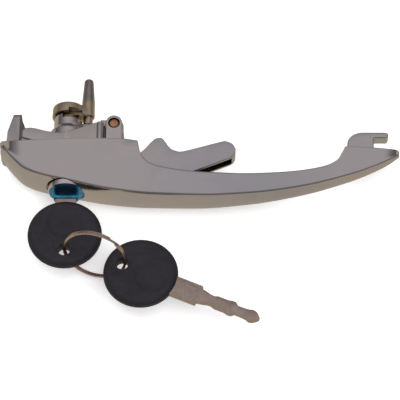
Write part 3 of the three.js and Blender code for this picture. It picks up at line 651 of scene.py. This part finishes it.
def make_circlip():
    """The open ring that keeps the lever on the plug."""
    outer = [(4.6 * math.cos(a), 4.6 * math.sin(a)) for a in spread(0.5, TAU - 0.5, 48)]
    inner = [(2.8 * math.cos(a), 2.8 * math.sin(a)) for a in spread(TAU - 0.75, 0.75, 40)]
    clip = prism("circlip", outer + inner, 24.3, 24.8, lambda u, v, w: (LOCK_X + u, w, v))
    return bevel(clip, 0.1, 2, 50)


# ---------------------------------------------------------------- keys and ring
KEY_1_AT = (LOCK_X, -42.7)
KEY_HOLE = 9.0
KEY_2_HOLE = (-34.75, -58.9)
KEY_2_TURN = -23.6
HEAD_R, HEAD_HALF = 16.8, 2.8
SHOULDER = HEAD_R + 11.8
BLADE_LENGTH, BLADE_HALF = 29, 1.1
EYE_R = 2.8
DISH_AT = 5.6
RING_R, RING_TURNS = 14.2, 1.965
WIRE_HALF_WIDTH, WIRE_HALF_THICK = 0.42, 0.56


def turned(obj, matrix):
    """Moves a mesh drawn about the handle's middle to a place in the XY plane."""
    middle = Matrix.Translation(Vector(place(0, 0, 0)))
    obj.data.transform(middle @ matrix @ middle.inverted())
    return obj


def at_mm(x, y, z=0.0):
    return Matrix.Translation(Vector((x * MM, y * MM, z * MM)))


# Distance past the shoulder and half width there, along the blade's edge.
BITTING = [(0, 3.5), (1.2, 3.3), (2.5, 3.05), (4.8, 2.45), (6.3, 2.35), (8.2, 2.95), (13, 2.95), (14.7, 3.4),
           (16.2, 3.4), (17.9, 2.1), (21.2, 2.15), (23.1, 2.35), (24.8, 2.95), (26.2, 2.75), (27.7, 1.75)]


def make_blade(name):
    """A double-sided key blade and its collar, drawn along +Y from the middle of the head."""
    tip = SHOULDER + BLADE_LENGTH
    right = [(4.9, 9), (4.9, SHOULDER - 0.4), (4.5, SHOULDER)] + [(half, SHOULDER + s) for s, half in BITTING]
    left = [(-x, y) for x, y in right[::-1]]
    blade = plate_z(name, right + [(0.4, tip), (-0.4, tip)] + left, -BLADE_HALF, BLADE_HALF)
    bevel(blade, 0.18, 2, 50)
    mark = [(-3.0, SHOULDER - 6.2), (2.6, SHOULDER - 6.2), (2.6, SHOULDER - 4.4), (0.2, SHOULDER - 4.4),
            (0.2, SHOULDER - 2.6), (-3.0, SHOULDER - 2.6)]
    tools = [plate_z("mill", mark, *sorted((side * 0.95, side * 3))) for side in (1, -1)]
    return cut(blade, *tools, post_z("eye", 0, -KEY_HOLE, EYE_R, -3, 3, 40))


def make_head(name):
    """A round moulded head with a soft rim and an off-centre thumb dish on each side."""
    rim = [(HEAD_R - 2.6, HEAD_HALF), (HEAD_R - 2.0, HEAD_HALF - 0.1), (HEAD_R - 1.2, HEAD_HALF - 0.55),
           (HEAD_R - 0.5, HEAD_HALF - 1.15), (HEAD_R - 0.12, HEAD_HALF - 1.75), (HEAD_R, HEAD_HALF - 2.3)]
    sides = 96
    profile = [(r, -z) for r, z in rim] + rim[::-1]
    points, rings = turn_profile(profile, sides, lambda u, v, z: (u, v, z))
    faces = ring_faces(rings, sides) + [rings[0][::-1], rings[-1]]
    head = mesh_object(name, points, faces, 40)
    tools = [block("tang", (-5.2, 8.7, -1.4), (5.2, 20, 1.4)), post_z("eye", 0, -KEY_HOLE, EYE_R, -5, 5, 48)]
    dish = [(0, HEAD_HALF - 0.8), (3, HEAD_HALF - 0.78), (5.5, HEAD_HALF - 0.7), (6.9, HEAD_HALF - 0.55),
            (7.7, HEAD_HALF - 0.3), (8.4, HEAD_HALF + 0.02), (8.5, HEAD_HALF + 1.5), (0, HEAD_HALF + 1.5)]
    for side in (1, -1):
        points, rings = turn_profile(dish, 64, lambda u, v, z, side=side: (u, DISH_AT + v, side * z))
        tools.append(mesh_object("dish", points, ring_faces(rings, 64)))
    cut(head, *tools)
    return bevel(head, 0.25, 2, 60, 40, keep=lambda a, b: Vector((a.x, a.y + KEY_HOLE)).length < EYE_R + 0.3)


def key_matrix(number):
    """Where a key drawn about its head lies: the first in the lock, the second turned about its eye."""
    if number == 1:
        return at_mm(*KEY_1_AT)
    turn = math.radians(KEY_2_TURN - 90)
    spin = Matrix.Rotation(turn, 4, "Z")
    centre = spin @ Vector((0, KEY_HOLE, 0))
    return at_mm(KEY_2_HOLE[0] + centre.x, KEY_2_HOLE[1] + centre.y) @ spin


def ring_frame():
    """The split ring's centre and directions, so that it passes through both keys' eyes."""
    hole_1 = Vector((KEY_1_AT[0], KEY_1_AT[1] - KEY_HOLE, 0))
    hole_2 = Vector((*KEY_2_HOLE, 0))
    along = (hole_2 - hole_1).normalized()
    across = Vector((-along.y, along.x, 0))
    lean = math.radians(12)
    upward = Vector((0, 0, math.cos(lean))) + across * math.sin(lean)
    normal = along.cross(upward)
    centre = (hole_1 + hole_2) / 2 + upward * 3.6 + along * 0.6
    return centre, along, upward, normal


def make_ring():
    """A split ring: one flat wire wound twice, with its two stepped ends."""
    centre, along, upward, normal = ring_frame()
    steps = 220
    start = math.radians(62)
    rings, verts = [], []
    for i in range(steps + 1):
        t = i / steps
        a = start + RING_TURNS * TAU * t
        cross_over = 1 / (1 + math.exp(-(t - 0.5) * 90))
        shift = -0.46 + 0.92 * cross_over
        radial = along * math.cos(a) + upward * math.sin(a)
        taper = 1.0 if 0 < i < steps else 0.75
        loop = []
        for u, v in ((-1, -0.6), (-0.6, -1), (0.6, -1), (1, -0.6), (1, 0.6), (0.6, 1), (-0.6, 1), (-1, 0.6)):
            loop.append(len(verts))
            verts.append(centre + radial * (RING_R + u * WIRE_HALF_THICK * taper)
                         + normal * (shift + v * WIRE_HALF_WIDTH * taper))
        rings.append(loop)
    faces = ring_faces(rings, 8) + [rings[0][::-1], rings[-1]]
    return mesh_object("split_ring", verts, faces, 50)


# ---------------------------------------------------------------- materials
def linear(value):
    """A 0 to 255 screen value as linear light."""
    value /= 255
    return value / 12.92 if value <= 0.04045 else ((value + 0.055) / 1.055) ** 2.4


def rgb(r, g, b):
    return (linear(r), linear(g), linear(b), 1)


class Graph:
    """A material's node tree with short ways to add and wire nodes."""

    def __init__(self, name):
        self.material = bpy.data.materials.new(name)
        self.material.use_nodes = True
        self.nodes = self.material.node_tree.nodes
        self.links = self.material.node_tree.links
        self.shader = self.nodes["Principled BSDF"]
        self.where = self.nodes.new("ShaderNodeTexCoord").outputs["Object"]

    def link(self, output, target, socket):
        self.links.new(output, target.inputs[socket])

    def noise(self, scale, detail=4.0, rough=0.5, stretch=None, distortion=0.0):
        node = self.nodes.new("ShaderNodeTexNoise")
        node.inputs["Scale"].default_value = scale
        node.inputs["Detail"].default_value = detail
        node.inputs["Roughness"].default_value = rough
        node.inputs["Distortion"].default_value = distortion
        self.link(self.mapped(stretch), node, "Vector")
        return node.outputs["Fac"]

    def mapped(self, stretch):
        if stretch is None:
            return self.where
        node = self.nodes.new("ShaderNodeMapping")
        node.inputs["Scale"].default_value = stretch
        self.link(self.where, node, "Vector")
        return node.outputs["Vector"]

    def voronoi(self, scale, stretch=None):
        node = self.nodes.new("ShaderNodeTexVoronoi")
        node.inputs["Scale"].default_value = scale
        self.link(self.mapped(stretch), node, "Vector")
        return node.outputs["Distance"]

    def ramp(self, value, stops):
        node = self.nodes.new("ShaderNodeValToRGB")
        elements = node.color_ramp.elements
        while len(elements) < len(stops):
            elements.new(0.5)
        for element, (at, colour) in zip(elements, stops):
            element.position = at
            element.color = (*colour[:3], 1)
        self.link(value, node, "Fac")
        return node.outputs["Color"]

    def spread(self, value, low, high, from_low=0.3, from_high=0.7):
        node = self.nodes.new("ShaderNodeMapRange")
        ends = {"From Min": from_low, "From Max": from_high, "To Min": low, "To Max": high}
        for socket, number in ends.items():
            node.inputs[socket].default_value = number
        self.link(value, node, "Value")
        return node.outputs["Result"]

    def mix(self, factor, a, b, blend="MIX"):
        node = self.nodes.new("ShaderNodeMix")
        node.data_type = "RGBA"
        node.blend_type = blend
        for socket, value in ((0, factor), (6, a), (7, b)):
            if hasattr(value, "is_linked"):
                self.links.new(value, node.inputs[socket])
            else:
                node.inputs[socket].default_value = value
        return node.outputs[2]

    def along(self, axis, start, end):
        """0 to 1 as the place on the piece goes from start to end, in metres."""
        node = self.nodes.new("ShaderNodeSeparateXYZ")
        self.link(self.where, node, 0)
        return self.spread(node.outputs[axis], 0, 1, start, end)

    def math(self, operation, a, b=0.0):
        node = self.nodes.new("ShaderNodeMath")
        node.operation = operation
        for socket, value in ((0, a), (1, b)):
            if hasattr(value, "is_linked"):
                self.link(value, node, socket)
            else:
                node.inputs[socket].default_value = value
        return node.outputs[0]

    def crevices(self, distance):
        """Ambient occlusion, used to paint shade into colours: 1 in the open and lower in corners and gaps
        within distance mm.
        """
        node = self.nodes.new("ShaderNodeAmbientOcclusion")
        node.samples = 6
        node.inputs["Distance"].default_value = distance * MM
        return node.outputs["AO"]

    def bump(self, *layers):
        """Stacked bumps, each (height output, strength, distance in mm)."""
        last = None
        for height, strength, distance in layers:
            node = self.nodes.new("ShaderNodeBump")
            node.inputs["Strength"].default_value = strength
            node.inputs["Distance"].default_value = distance * MM
            self.link(height, node, "Height")
            if last is not None:
                self.link(last, node, "Normal")
            last = node.outputs["Normal"]
        self.link(last, self.shader, "Normal")

    def finish(self, colour, roughness, metallic=1.0, **sockets):
        for socket, value in (("Base Color", colour), ("Roughness", roughness)):
            if hasattr(value, "is_linked"):
                self.link(value, self.shader, socket)
            else:
                self.shader.inputs[socket].default_value = value
        self.shader.inputs["Metallic"].default_value = metallic
        for socket, value in sockets.items():
            self.shader.inputs[socket.replace("_", " ")].default_value = value
        return self.material


def chrome(name, tone=1.0, rough=0.16):
    """Plated zinc casting: bright, a little hazy, with faint pits, wipe marks, uneven tone, a painted
    lengthwise reflection tone and painted shade in crevices.
    """
    g = Graph(name)
    patches = g.noise(55, 3, 0.5, distortion=0.6)
    colour = g.ramp(patches, [(0.3, (0.60 * tone, 0.585 * tone, 0.60 * tone)),
                              (0.5, (0.62 * tone, 0.612 * tone, 0.618 * tone)),
                              (0.7, (0.65 * tone, 0.622 * tone, 0.612 * tone))])
    grain = g.noise(2600, 2, 0.6)
    colour = g.mix(g.spread(grain, 0.0, 0.12), colour, (0.45 * tone, 0.43 * tone, 0.43 * tone, 1))
    # Painted reflection: the base colour changes tone along the handle's length, darker along the grip, in
    # place of the reflections there.
    painted_reflection_tone = g.ramp(g.along("X", 0.0, 0.18), [(0.0, (1, 0.98, 0.96)), (0.25, (1.04, 0.99, 0.97)),
                                                  (0.55, (0.93, 0.92, 0.95)), (0.68, (0.88, 0.88, 0.9)),
                                                  (0.85, (1, 0.95, 0.95)), (1.0, (0.98, 0.96, 0.96))])
    colour = g.mix(1.0, colour, painted_reflection_tone, "MULTIPLY")
    # Painted shade: the base colour is darkened in corners, gaps and crevices where shade falls.
    shade = g.ramp(g.crevices(2.2), [(0.35, (0.12, 0.11, 0.11)), (0.75, (1, 1, 1))])
    colour = g.mix(1.0, colour, shade, "MULTIPLY")
    haze = g.noise(160, 4, 0.6, stretch=(1, 3, 1))
    wipes = g.noise(900, 3, 0.6, stretch=(0.12, 1, 1))
    roughness = g.spread(haze, rough - 0.03, rough + 0.07)
    pits = g.voronoi(700)
    g.bump((g.noise(120, 2, 0.4), 0.10, 0.25), (wipes, 0.03, 0.03),
           (g.spread(pits, 0, 1, 0.0, 0.12), 0.05, 0.03))
    return g.finish(colour, roughness)


def metal(name, base, dark, light, rough, scale=900, brush=None, bump=0.08):
    """A plain metal finish with uneven tone, fine brushing and small marks."""
    g = Graph(name)
    patches = g.noise(180, 4, 0.6, distortion=0.8)
    colour = g.ramp(patches, [(0.28, dark), (0.5, base), (0.74, light)])
    lines = g.noise(scale, 4, 0.65, stretch=brush)
    colour = g.mix(g.spread(lines, 0, 0.3), colour, tuple(c * 0.55 for c in dark) + (1,))
    roughness = g.spread(g.noise(350, 3, 0.6), rough - 0.05, rough + 0.1)
    g.bump((lines, bump, 0.05), (g.noise(260, 2), 0.05, 0.1))
    return g.finish(colour, roughness)


def yellow_zinc():
    """Passivated zinc: golden with pink and green tints on the disc, greyer up the finger, with painted shade
    in its corners and gaps.
    """
    g = Graph("yellow_zinc_look")
    patches = g.noise(210, 4, 0.6, distortion=1.0)
    golden = g.ramp(patches, [(0.28, (0.50, 0.46, 0.30)), (0.5, (0.66, 0.55, 0.39)),
                              (0.72, (0.70, 0.52, 0.44))])
    grey = g.ramp(patches, [(0.3, (0.36, 0.36, 0.33)), (0.7, (0.50, 0.45, 0.44))])
    colour = g.mix(g.along("Y", 0.0255, 0.029), golden, grey)
    lines = g.noise(800, 4, 0.65)
    colour = g.mix(g.spread(lines, 0, 0.25), colour, (0.22, 0.2, 0.13, 1))
    # Painted shade: the colour is darkened in corners and gaps where shade falls.
    shade = g.ramp(g.crevices(2.5), [(0.3, (0.1, 0.09, 0.08)), (0.7, (1, 1, 1))])
    colour = g.mix(1.0, colour, shade, "MULTIPLY")
    g.bump((lines, 0.12, 0.05), (g.noise(260, 2), 0.05, 0.1))
    return g.finish(colour, g.spread(g.noise(350, 3, 0.6), 0.3, 0.44))


def plastic():
    """Black moulded plastic with a fine spark texture and a greyer fine grain."""
    g = Graph("key_plastic_look")
    grain = g.noise(1900, 3, 0.7)
    spots = g.voronoi(2300)
    cloud = g.noise(90, 4, 0.6, distortion=0.5)
    colour = g.ramp(cloud, [(0.3, rgb(24, 22, 27)), (0.6, rgb(31, 29, 34)), (0.75, rgb(37, 34, 39))])
    colour = g.mix(g.spread(grain, 0.0, 0.45, 0.35, 0.75), colour, rgb(52, 49, 54))
    roughness = g.spread(g.noise(400, 3), 0.46, 0.62)
    g.bump((spots, 0.30, 0.05), (grain, 0.25, 0.06))
    return g.finish(colour, roughness, 0.0, Specular_IOR_Level=0.42)


def film():
    """Blue protective film with a metallic shine, slight wrinkles, and painted shade as a dark middle round
    the key.
    """
    g = Graph("film_look")
    cloud = g.noise(260, 3, 0.5, distortion=1.2)
    colour = g.ramp(cloud, [(0.3, (0.01, 0.16, 0.30)), (0.52, (0.02, 0.27, 0.47)),
                            (0.72, (0.05, 0.40, 0.60))])
    # Painted shade: a mottled dark navy strip across the middle and along the sleeve round the key, the
    # sleeve's outer end left blue.
    lock_x = (LOCK_X - SEAT_X) * MM
    across = g.spread(g.noise(900, 2), -0.0004, 0.0004)
    offset = g.math("ABSOLUTE", g.math("ADD", g.along("X", lock_x - 0.5, lock_x + 0.5), -0.5))
    middle = g.spread(g.math("ADD", offset, across), 1, 0, 0.0046, 0.0054)
    sleeve_end = g.along("Y", -0.0236, -0.0229)
    shade_mottle = g.noise(500, 3, 0.6, distortion=1.0)
    dark = g.ramp(shade_mottle, [(0.3, (0.004, 0.02, 0.045)), (0.7, (0.015, 0.06, 0.10))])
    colour = g.mix(g.math("MULTIPLY", middle, sleeve_end), colour, dark)
    g.bump((g.noise(420, 2, 0.4, distortion=0.7), 0.25, 0.12),)
    return g.finish(colour, g.spread(g.noise(500, 2), 0.16, 0.3), 0.7, Coat_Weight=0.4, Coat_Roughness=0.12)


# ---------------------------------------------------------------- assembly
LOOKS = {
    "chrome_casting": chrome("chrome_casting_look"),
    "chrome_trigger": chrome("chrome_trigger_look", 0.98, 0.2),
    "cap_chrome": chrome("cap_chrome_look", 1.2, 0.14),
    "copper_pin": metal("copper_pin_look", (0.78, 0.42, 0.22), (0.62, 0.32, 0.17), (0.86, 0.52, 0.3),
                        0.36, 700, (1, 1, 0.3), 0.2),
    "spring_steel": metal("spring_steel_look", (0.6, 0.5, 0.3), (0.42, 0.34, 0.2), (0.75, 0.64, 0.42),
                          0.25, 1400),
    "lock_brass": metal("lock_brass_look", (0.56, 0.45, 0.24), (0.42, 0.32, 0.16), (0.68, 0.56, 0.34),
                        0.3, 900, (1, 0.2, 1)),
    "steel_pin": metal("steel_pin_look", (0.5, 0.5, 0.5), (0.38, 0.38, 0.4), (0.62, 0.62, 0.62), 0.3),
    "yellow_zinc": yellow_zinc(),
    "key_nickel": metal("key_nickel_look", (0.56, 0.45, 0.385), (0.48, 0.385, 0.325), (0.64, 0.53, 0.46),
                        0.3, 1500, (1, 0.15, 1), 0.1),
    "ring_nickel": metal("ring_nickel_look", (0.8, 0.64, 0.55), (0.6, 0.48, 0.4), (0.92, 0.78, 0.68),
                         0.26, 1200),
    "blue_film": film(),
    "key_plastic": plastic(),
}


def add(piece, name, slot, node, body=None, between=None):
    """Names a piece, gives it its look, ties it to its body or, with between, leaves it unparented in the
    frame, and hides the CAD node it replaces.
    """
    piece.name = name
    piece.data.name = name
    piece.data.materials.clear()
    piece.data.materials.append(LOOKS[slot])
    if between:
        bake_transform(piece)
    else:
        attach(piece, body)
    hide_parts(node)
    return piece


add(make_body(), "casting", "chrome_casting", "handle_body", "handle")
add(make_trigger(), "trigger_arm", "chrome_trigger", "trigger_lever", "trigger")
add(make_pin(), "pivot_pin", "copper_pin", "trigger_pivot_pin", "handle")
add(make_plug(), "plug", "lock_brass", "lock_plug", "lock")
add(make_cap(), "face_cap", "cap_chrome", "lock_face_cap", "lock")
add(make_film(), "face_film", "blue_film", "cap_film", "lock")
add(make_cam(), "lever", "yellow_zinc", "cam_lever", "lock")
add(make_circlip(), "circlip", "spring_steel", "cam_circlip", "lock")
add(trigger_spring(), "trigger_spring", "spring_steel", "trigger_return_spring", between=(
    "handle", "trigger", place(PIVOT_X, PIVOT_Y, -1.65), place(PIVOT_X, PIVOT_Y, 1.65)))
add(cam_spring(), "lever_spring", "spring_steel", "cam_return_spring", between=(
    "handle", "lock", place(LOCK_X, 16.8, 0), place(LOCK_X, 18.8, 0)))
for number in (1, 2):
    body = f"key_{number}"
    matrix = key_matrix(number)
    add(turned(make_blade("blade"), matrix), f"blade_{number}", "key_nickel", f"key_{number}_blade", body)
    add(turned(make_head("head"), matrix), f"head_{number}", "key_plastic", f"key_{number}_head", body)
add(make_ring(), "split_ring", "ring_nickel", "key_ring", "ring")


def recolour(node, slot):
    """Gives a CAD node that is shown as it is its detailed material."""
    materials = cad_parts[node].data.materials
    materials.clear()
    materials.append(LOOKS[slot])


for number in range(1, WAFERS + 1):
    recolour(f"wafer_{number}", "lock_brass")
recolour("lock_retaining_pin", "steel_pin")


# ---------------------------------------------------------------- stage, light and camera
def make_floor():
    """A white floor just under the object at rest, which reflections see as a warm grey."""
    half, low = 2.5, cad_lo.z - 0.0002
    mesh = bpy.data.meshes.new("floor")
    mesh.from_pydata([(-half, -half, low), (half, -half, low), (half, half, low), (-half, half, low)], [],
                     [(0, 1, 2, 3)])
    floor = bpy.data.objects.new("floor", mesh)
    bpy.context.scene.collection.objects.link(floor)
    g = Graph("floor_look")
    paper = g.noise(30, 3)
    colour = g.ramp(paper, [(0.3, (0.86, 0.86, 0.86, 1)), (0.7, (0.9, 0.9, 0.9, 1))])
    g.finish(colour, 0.9, 0.0, Emission_Color=(1, 1, 1, 1), Emission_Strength=0.42)
    path = g.nodes.new("ShaderNodeLightPath")
    seen = g.nodes.new("ShaderNodeEmission")
    seen.inputs["Color"].default_value = (0.47, 0.42, 0.345, 1)
    blend = g.nodes.new("ShaderNodeMixShader")
    out = next(n for n in g.nodes if n.type == "OUTPUT_MATERIAL")
    g.links.new(path.outputs["Is Glossy Ray"], blend.inputs[0])
    g.links.new(g.shader.outputs[0], blend.inputs[1])
    g.links.new(seen.outputs[0], blend.inputs[2])
    g.links.new(blend.outputs[0], out.inputs["Surface"])
    mesh.materials.append(g.material)


def make_world():
    """White to the camera, and a studio of warm, dark and pale bands by height to everything else."""
    world = bpy.data.worlds.new("studio")
    bpy.context.scene.world = world
    world.use_nodes = True
    tree = world.node_tree
    new, link = tree.nodes.new, tree.links.new
    background = next(n for n in tree.nodes if n.type == "BACKGROUND")
    split = new("ShaderNodeSeparateXYZ")
    link(new("ShaderNodeTexCoord").outputs["Generated"], split.inputs[0])
    height = new("ShaderNodeValToRGB")
    stops = [(0.0, (0.47, 0.42, 0.345)), (0.48, (0.40, 0.36, 0.31)), (0.5, (0.10, 0.10, 0.11)),
             (0.62, (0.13, 0.125, 0.135)), (0.73, (0.22, 0.205, 0.21)), (0.83, (0.33, 0.31, 0.315)),
             (0.90, (0.50, 0.485, 0.495)), (0.93, (0.49, 0.475, 0.49)), (1.0, (0.48, 0.47, 0.485))]
    elements = height.color_ramp.elements
    while len(elements) < len(stops):
        elements.new(0.5)
    for element, (at, colour) in zip(elements, stops):
        element.position = at
        element.color = (*colour, 1)
    half = new("ShaderNodeMapRange")
    half.inputs["From Min"].default_value = -1
    link(split.outputs["Z"], half.inputs["Value"])
    link(half.outputs["Result"], height.inputs["Fac"])
    path = new("ShaderNodeLightPath")
    mix = new("ShaderNodeMix")
    mix.data_type = "RGBA"
    link(path.outputs["Is Camera Ray"], mix.inputs[0])
    link(height.outputs["Color"], mix.inputs[6])
    mix.inputs[7].default_value = (0.95, 0.95, 0.955, 1)
    link(mix.outputs[2], background.inputs["Color"])


def area(name, at, towards, size, power):
    """A square soft light that isn't seen in reflections."""
    light = bpy.data.lights.new(name, "AREA")
    light.size = size
    light.energy = power
    lamp = bpy.data.objects.new(name, light)
    lamp.location = at
    lamp.rotation_mode = "QUATERNION"
    lamp.rotation_quaternion = (towards - Vector(at)).to_track_quat("-Z", "Y")
    lamp.visible_glossy = False
    bpy.context.scene.collection.objects.link(lamp)


MIDDLE = Vector((0.09, -0.0184, -0.01063))
ELEVATION = math.radians(60)
DISTANCE, LENS = 1.1, 215.2


def make_camera():
    """Looks down at ELEVATION from in front of the outer face, as at a part lying on a table."""
    data = bpy.data.cameras.new("camera")
    data.lens = LENS
    data.clip_start, data.clip_end = 0.01, 50
    camera = bpy.data.objects.new("camera", data)
    back = Vector((0, -math.cos(ELEVATION), math.sin(ELEVATION)))
    camera.location = MIDDLE + back * DISTANCE
    camera.rotation_mode = "QUATERNION"
    camera.rotation_quaternion = (-back).to_track_quat("-Z", "Y")
    bpy.context.scene.collection.objects.link(camera)
    bpy.context.scene.camera = camera


make_floor()
make_world()
area("key_light", (0.35, -0.5, 1.1), MIDDLE, 0.9, 9)
area("fill_light", (-0.6, 0.5, 0.9), MIDDLE, 1.0, 7)
make_camera()
bpy.context.scene.view_settings.view_transform = "Standard"
